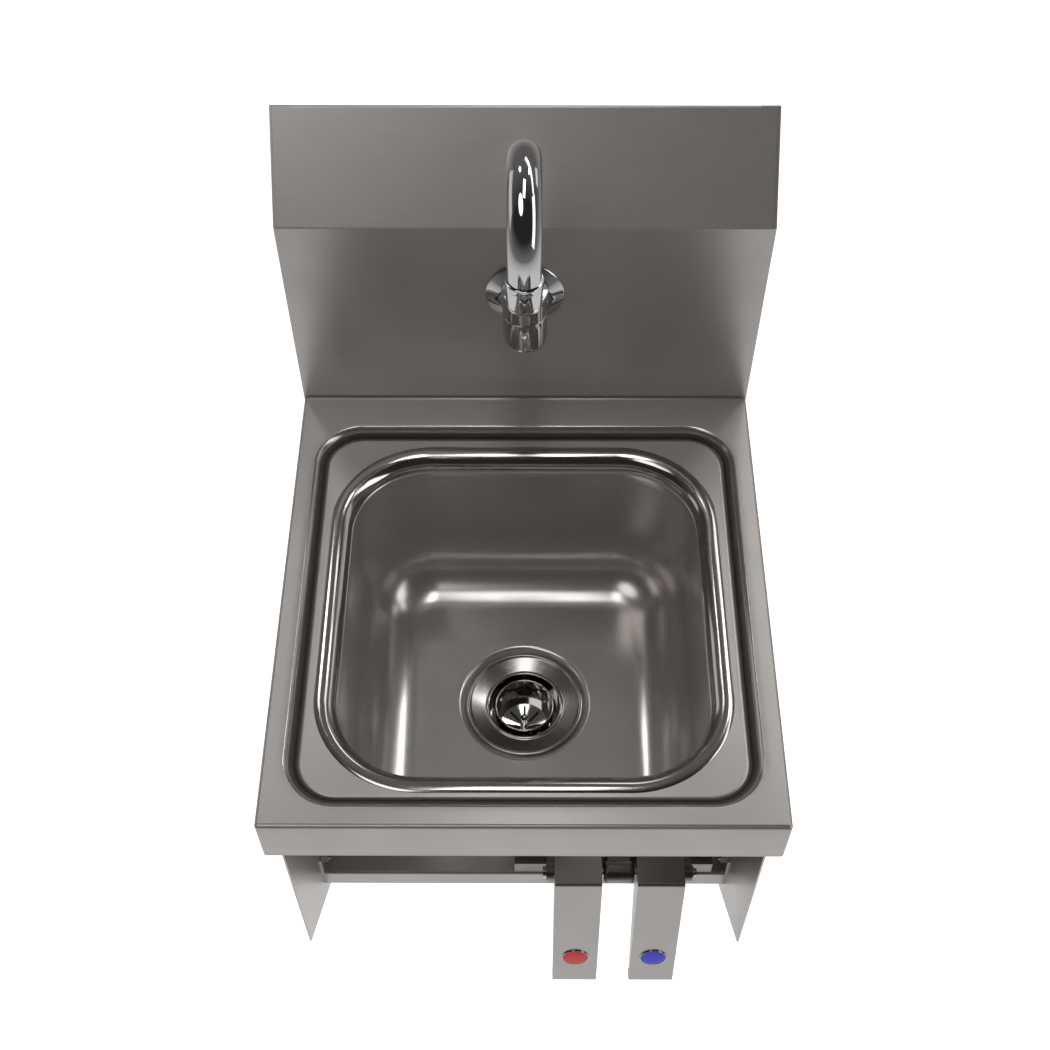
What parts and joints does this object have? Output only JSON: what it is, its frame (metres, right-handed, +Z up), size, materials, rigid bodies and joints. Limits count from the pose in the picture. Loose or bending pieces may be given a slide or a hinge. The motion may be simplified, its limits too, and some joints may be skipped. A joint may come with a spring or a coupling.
{
  "type": "wall-hung hand wash sink",
  "caption": "Wall-hung stainless hand sink with a deep bowl, a sloped splash, a swivel gooseneck spout, a strainer cup and a two-pedal knee valve under the deck.",
  "frame": {"origin": "middle of the wall bracket's screw holes, on the wall", "axes": "+Z up, +Y into the wall, +X to the right as the user faces the sink"},
  "size_m": [0.3048, 0.3701, 0.627],
  "materials": {
    "sheet_satin": "satin stainless sheet, fine grain along x",
    "bowl_satin": "satin, drawn stainless",
    "pressed_satin": "satin pressed stainless",
    "zinc_steel": "zinc plated",
    "cast_satin": "cast brass with a satin nickel plate",
    "polished_steel": "polished stainless",
    "chrome": "polished chrome plate",
    "brass": "turned brass",
    "copper": "drawn copper",
    "rubber": "black rubber",
    "fibre": "pressed fibre",
    "white_plastic": "moulded acetal",
    "red_disc": "red enamel",
    "blue_disc": "blue enamel",
    "spring_steel": "spring wire"
  },
  "bodies": {
    "sink": {"deck": "sheet_satin", "bowl": "bowl_satin", "backsplash": "sheet_satin", "splash_end_left": "sheet_satin", "splash_end_right": "sheet_satin", "wall_bracket": "zinc_steel", "side_panel_left": "sheet_satin", "side_panel_right": "sheet_satin", "crossbar": "sheet_satin", "crossbar_bolts": "zinc_steel", "crossbar_nuts": "zinc_steel", "drain_flange": "polished_steel", "drain_gasket": "rubber", "drain_fibre_ring": "fibre", "drain_locknut": "brass", "tailpiece": "chrome", "tailpiece_washer": "rubber", "tailpiece_nut": "chrome", "escutcheon": "chrome", "faucet_body": "chrome", "bonnet": "chrome", "shank_washer": "rubber", "shank_locknut": "brass", "shank_elbow": "brass", "valve_body": "cast_satin", "valve_locknuts": "zinc_steel", "hinge_pin": "polished_steel", "pin_clip": "zinc_steel", "hot_cartridge": "brass", "cold_cartridge": "brass", "hot_seat_washer": "rubber", "cold_seat_washer": "rubber", "hot_spring": "spring_steel", "cold_spring": "spring_steel", "hot_inlet": "brass", "cold_inlet": "brass", "supply_tube": "copper", "supply_nuts": "brass", "supply_ferrules": "brass"},
    "spout": {"gooseneck": "chrome", "spout_sleeve": "brass", "spout_seals": "rubber", "aerator_ring": "chrome", "aerator_shell": "chrome", "aerator_washer": "rubber", "aerator_insert": "white_plastic"},
    "strainer_cup": {"crumb_cup": "polished_steel", "cup_post": "polished_steel", "cup_stopper": "rubber"},
    "hot_pedal": {"hot_pedal": "pressed_satin", "hot_index": "red_disc"},
    "cold_pedal": {"cold_pedal": "pressed_satin", "cold_index": "blue_disc"},
    "hot_plunger": {"hot_plunger": "polished_steel"},
    "cold_plunger": {"cold_plunger": "polished_steel"}
  },
  "joints": [
    {"name": "hot_pedal_hinge", "type": "hinge", "parent": "sink", "child": "hot_pedal", "pos_m": [0.03865, -0.2968, -0.4012], "axis": [1, 0, 0], "range_deg": [0, 12], "stiffness_Nm_per_rad": 1.5, "springref_deg": -6.88},
    {"name": "cold_pedal_hinge", "type": "hinge", "parent": "sink", "child": "cold_pedal", "pos_m": [0.09775, -0.2968, -0.4012], "axis": [1, 0, 0], "range_deg": [0, 12], "stiffness_Nm_per_rad": 1.5, "springref_deg": -6.88},
    {"name": "hot_plunger_slide", "type": "slide", "parent": "sink", "child": "hot_plunger", "axis": [0, 1, 0], "range_m": [0, 0.00385], "deforming": ["hot_spring"]},
    {"name": "cold_plunger_slide", "type": "slide", "parent": "sink", "child": "cold_plunger", "axis": [0, 1, 0], "range_m": [0, 0.00385], "deforming": ["cold_spring"]},
    {"name": "spout_swivel", "type": "hinge", "parent": "sink", "child": "spout", "pos_m": [0, -0.0778, -0.0502], "axis": [0, 0, 1], "range_deg": [-90, 90]},
    {"name": "crumb_cup_lift", "type": "slide", "parent": "sink", "child": "strainer_cup", "axis": [0, 0, 1], "range_m": [0, 0.175]}
  ],
  "couplings": [
    {"joint": "hot_plunger_slide", "follows": "hot_pedal_hinge", "m_per_rad": 0.01824},
    {"joint": "cold_plunger_slide", "follows": "cold_pedal_hinge", "m_per_rad": 0.01824}
  ]
}
